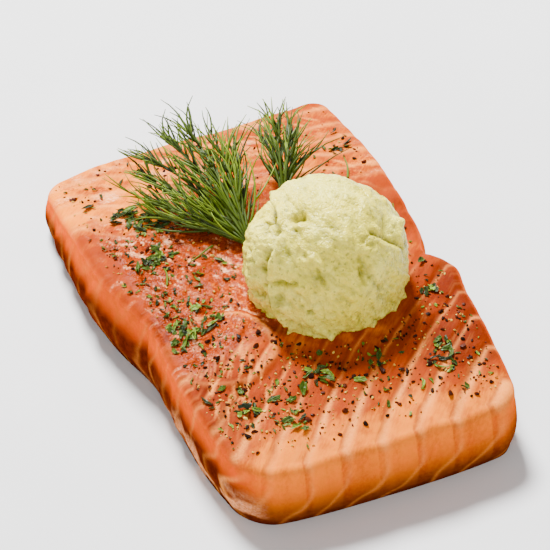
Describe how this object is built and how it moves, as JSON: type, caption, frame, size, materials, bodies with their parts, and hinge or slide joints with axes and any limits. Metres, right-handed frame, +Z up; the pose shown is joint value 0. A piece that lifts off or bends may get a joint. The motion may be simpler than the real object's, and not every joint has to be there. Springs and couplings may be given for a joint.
{
  "type": "salmon fillet with herb butter",
  "caption": "Raw salmon portion with a scoop of pale herb butter, dill fronds, chopped herbs and cracked pepper on its top face.",
  "frame": {"origin": "middle of the flat underside", "axes": "+Y towards the thin back edge, along the cut faces; +X to the right; +Z up out of the topped face"},
  "size_m": [0.0787, 0.1275, 0.0473],
  "materials": {
    "salmon_flesh": "moist raw flesh with pale fat lines",
    "herb_butter": "waxy, with fine herb specks",
    "dill": "soft satin leaf"
  },
  "bodies": {
    "root": {"salmon_fillet": "salmon_flesh", "pesto_butter": "herb_butter", "dill_frond_left": "dill", "dill_frond_right": "dill"}
  },
  "joints": []
}
